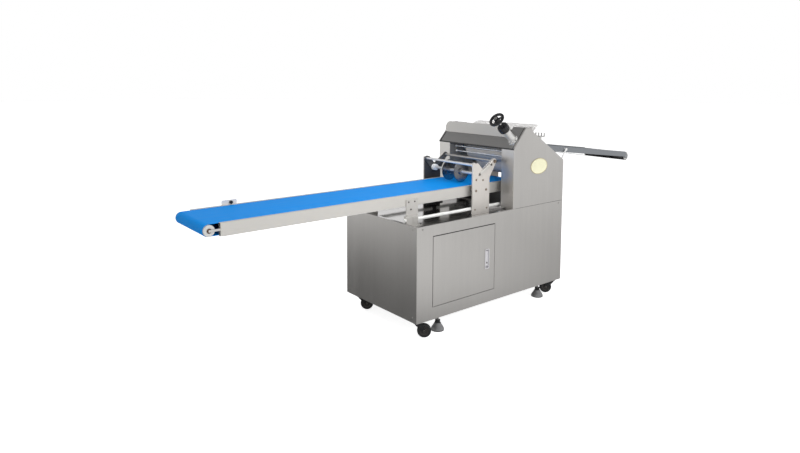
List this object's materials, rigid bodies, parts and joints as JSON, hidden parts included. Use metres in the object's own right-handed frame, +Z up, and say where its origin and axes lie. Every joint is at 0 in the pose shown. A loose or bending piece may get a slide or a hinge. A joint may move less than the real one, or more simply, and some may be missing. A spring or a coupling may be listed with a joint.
{
  "type": "dough divider",
  "caption": "Floor-standing bakery dough divider: press rollers in a tower on a wheeled steel cabinet, inclined infeed belt, disc cutters over a long blue discharge belt.",
  "frame": {"origin": "bottom centre of the whole machine's bounding box, on the floor", "axes": "+X from the discharge end to the infeed end, +Y from the door side to the far side, +Z up"},
  "size_m": [3.8219, 0.7626, 1.3706],
  "materials": {
    "stainless": "brushed",
    "machine_steel": "machined",
    "belt": "matte",
    "black_plastic": "satin",
    "motor_grey": "painted",
    "box_grey": "powder coat",
    "bearing_iron": "painted",
    "caster_metal": "black",
    "caster_rubber": "matte",
    "foot_metal": "zinc plated"
  },
  "bodies": {
    "machine": {"base_frame": "machine_steel", "cabinet_shell": "stainless", "top_deck": "stainless", "floor_plate": "stainless", "near_housing_cover": "stainless", "far_housing_cover": "stainless", "near_frame_plate": "machine_steel", "far_frame_plate": "machine_steel", "hood": "stainless", "hopper": "stainless", "finger_guard": "stainless", "roller_bearings": "bearing_iron", "spindle_sleeve": "stainless", "position_counter": "black_plastic", "near_conveyor_rail": "stainless", "far_conveyor_rail": "stainless", "slider_bed": "stainless", "conveyor_belt": "belt", "tension_brackets": "stainless", "conveyor_posts": "stainless", "guide_bars": "stainless", "near_cutter_post": "stainless", "far_cutter_post": "stainless", "rear_tie_rod": "stainless", "sensor_bracket": "stainless", "sensor_eye": "black_plastic", "infeed_trough": "stainless", "infeed_belt": "belt", "infeed_stays": "stainless", "gear_motor": "motor_grey", "drive_chain": "machine_steel", "control_box": "box_grey"},
    "door": {"door": "stainless", "latch_housing": "stainless"},
    "latch_handle": {"latch_handle": "stainless"},
    "handwheel": {"handwheel": "black_plastic", "adjusting_screw": "stainless"},
    "roller_yoke": {"roller_yoke": "machine_steel"},
    "upper_press_roller": {"upper_press_roller": "machine_steel"},
    "lower_press_roller": {"lower_press_roller": "machine_steel"},
    "belt_drive_roller": {"belt_drive_roller": "stainless"},
    "tail_roller": {"tail_roller": "stainless"},
    "cutter_swing_frame": {"cutter_swing_frame": "stainless"},
    "cutter": {"cutter_shaft": "stainless", "cutter_discs": "stainless"},
    "infeed_head_roller": {"infeed_head_roller": "stainless"},
    "infeed_tail_roller": {"infeed_tail_roller": "stainless"},
    "motor_sprocket": {"motor_sprocket": "machine_steel"},
    "near_left_caster_fork": {"near_left_caster_fork": "caster_metal"},
    "near_left_caster_wheel": {"near_left_caster_wheel": "caster_rubber"},
    "near_left_levelling_foot": {"near_left_levelling_foot": "foot_metal"},
    "far_left_caster_fork": {"far_left_caster_fork": "caster_metal"},
    "far_left_caster_wheel": {"far_left_caster_wheel": "caster_rubber"},
    "far_left_levelling_foot": {"far_left_levelling_foot": "foot_metal"},
    "near_right_caster_fork": {"near_right_caster_fork": "caster_metal"},
    "near_right_caster_wheel": {"near_right_caster_wheel": "caster_rubber"},
    "near_right_levelling_foot": {"near_right_levelling_foot": "foot_metal"},
    "far_right_caster_fork": {"far_right_caster_fork": "caster_metal"},
    "far_right_caster_wheel": {"far_right_caster_wheel": "caster_rubber"},
    "far_right_levelling_foot": {"far_right_levelling_foot": "foot_metal"}
  },
  "joints": [
    {"name": "door_hinge", "type": "hinge", "parent": "machine", "child": "door", "pos_m": [-0.526, -0.369, 0.408], "axis": [0, 0, 1], "range_deg": [-110, 0]},
    {"name": "latch_lift", "type": "hinge", "parent": "door", "child": "latch_handle", "pos_m": [-0.051, -0.36967, 0.4565], "axis": [-1, 0, 0], "range_deg": [0, 40]},
    {"name": "handwheel_turn", "type": "hinge", "parent": "machine", "child": "handwheel", "pos_m": [0.24793, -0.325, 1.17582], "axis": [-0.7546, 0, 0.6562], "range_deg": [0, 1800]},
    {"name": "yoke_slide", "type": "slide", "parent": "machine", "child": "roller_yoke", "axis": [-0.7546, 0, 0.6562], "range_m": [0, 0.01]},
    {"name": "lower_roller_spin", "type": "hinge", "parent": "machine", "child": "lower_press_roller", "pos_m": [0.48677, 0, 0.96814], "axis": [0, -1, 0], "continuous": true},
    {"name": "upper_roller_spin", "type": "hinge", "parent": "roller_yoke", "child": "upper_press_roller", "pos_m": [0.36867, 0, 1.07083], "axis": [0, -1, 0], "continuous": true},
    {"name": "drive_roller_spin", "type": "hinge", "parent": "machine", "child": "belt_drive_roller", "pos_m": [0.404, 0, 0.84], "axis": [0, -1, 0], "continuous": true},
    {"name": "tail_roller_spin", "type": "hinge", "parent": "machine", "child": "tail_roller", "pos_m": [-1.878, 0, 0.84], "axis": [0, -1, 0], "continuous": true},
    {"name": "cutter_lift", "type": "hinge", "parent": "machine", "child": "cutter_swing_frame", "pos_m": [0.138, 0, 1.032], "axis": [0, 1, 0], "range_deg": [0, 60]},
    {"name": "cutter_spin", "type": "hinge", "parent": "cutter_swing_frame", "child": "cutter", "pos_m": [0.011, 0, 0.9495], "axis": [0, 1, 0], "continuous": true},
    {"name": "infeed_head_spin", "type": "hinge", "parent": "machine", "child": "infeed_head_roller", "pos_m": [0.52196, 0, 1.10762], "axis": [0, -1, 0], "continuous": true},
    {"name": "infeed_tail_spin", "type": "hinge", "parent": "machine", "child": "infeed_tail_roller", "pos_m": [1.876, 0, 0.93094], "axis": [0, -1, 0], "continuous": true},
    {"name": "motor_spin", "type": "hinge", "parent": "machine", "child": "motor_sprocket", "pos_m": [0.479, 0.28, 0.215], "axis": [0, -1, 0], "continuous": true},
    {"name": "near_left_caster_swivel", "type": "hinge", "parent": "machine", "child": "near_left_caster_fork", "pos_m": [-0.614, -0.327, 0.0455], "axis": [0, 0, 1], "continuous": true},
    {"name": "near_left_caster_roll", "type": "hinge", "parent": "near_left_caster_fork", "child": "near_left_caster_wheel", "pos_m": [-0.58291, -0.35217, 0.0455], "axis": [-0.6293, -0.7771, 0], "continuous": true},
    {"name": "far_left_caster_swivel", "type": "hinge", "parent": "machine", "child": "far_left_caster_fork", "pos_m": [-0.614, 0.275, 0.0455], "axis": [0, 0, 1], "continuous": true},
    {"name": "far_left_caster_roll", "type": "hinge", "parent": "far_left_caster_fork", "child": "far_left_caster_wheel", "pos_m": [-0.58291, 0.24983, 0.0455], "axis": [-0.6293, -0.7771, 0], "continuous": true},
    {"name": "near_right_caster_swivel", "type": "hinge", "parent": "machine", "child": "near_right_caster_fork", "pos_m": [0.702, -0.327, 0.0455], "axis": [0, 0, 1], "continuous": true},
    {"name": "near_right_caster_roll", "type": "hinge", "parent": "near_right_caster_fork", "child": "near_right_caster_wheel", "pos_m": [0.67091, -0.30183, 0.0455], "axis": [0.6293, 0.7771, 0], "continuous": true},
    {"name": "far_right_caster_swivel", "type": "hinge", "parent": "machine", "child": "far_right_caster_fork", "pos_m": [0.702, 0.275, 0.0455], "axis": [0, 0, 1], "continuous": true},
    {"name": "far_right_caster_roll", "type": "hinge", "parent": "far_right_caster_fork", "child": "far_right_caster_wheel", "pos_m": [0.67091, 0.30017, 0.0455], "axis": [0.6293, 0.7771, 0], "continuous": true},
    {"name": "near_left_foot_turn", "type": "hinge", "parent": "machine", "child": "near_left_levelling_foot", "pos_m": [-0.438, -0.317, 0.06], "axis": [0, 0, 1], "continuous": true},
    {"name": "far_left_foot_turn", "type": "hinge", "parent": "machine", "child": "far_left_levelling_foot", "pos_m": [-0.438, 0.317, 0.06], "axis": [0, 0, 1], "continuous": true},
    {"name": "near_right_foot_turn", "type": "hinge", "parent": "machine", "child": "near_right_levelling_foot", "pos_m": [0.556, -0.317, 0.06], "axis": [0, 0, 1], "continuous": true},
    {"name": "far_right_foot_turn", "type": "hinge", "parent": "machine", "child": "far_right_levelling_foot", "pos_m": [0.556, 0.317, 0.06], "axis": [0, 0, 1], "continuous": true}
  ],
  "couplings": [
    {"joint": "handwheel_turn", "follows": "yoke_slide", "rad_per_m": 3141.6},
    {"joint": "upper_roller_spin", "follows": "lower_roller_spin", "ratio": -1},
    {"joint": "drive_roller_spin", "follows": "lower_roller_spin", "ratio": 2.1818},
    {"joint": "tail_roller_spin", "follows": "lower_roller_spin", "ratio": 2.1818},
    {"joint": "infeed_head_spin", "follows": "lower_roller_spin", "ratio": 4.1143},
    {"joint": "infeed_tail_spin", "follows": "lower_roller_spin", "ratio": 2.0571},
    {"joint": "motor_spin", "follows": "lower_roller_spin", "ratio": 1.6667}
  ]
}
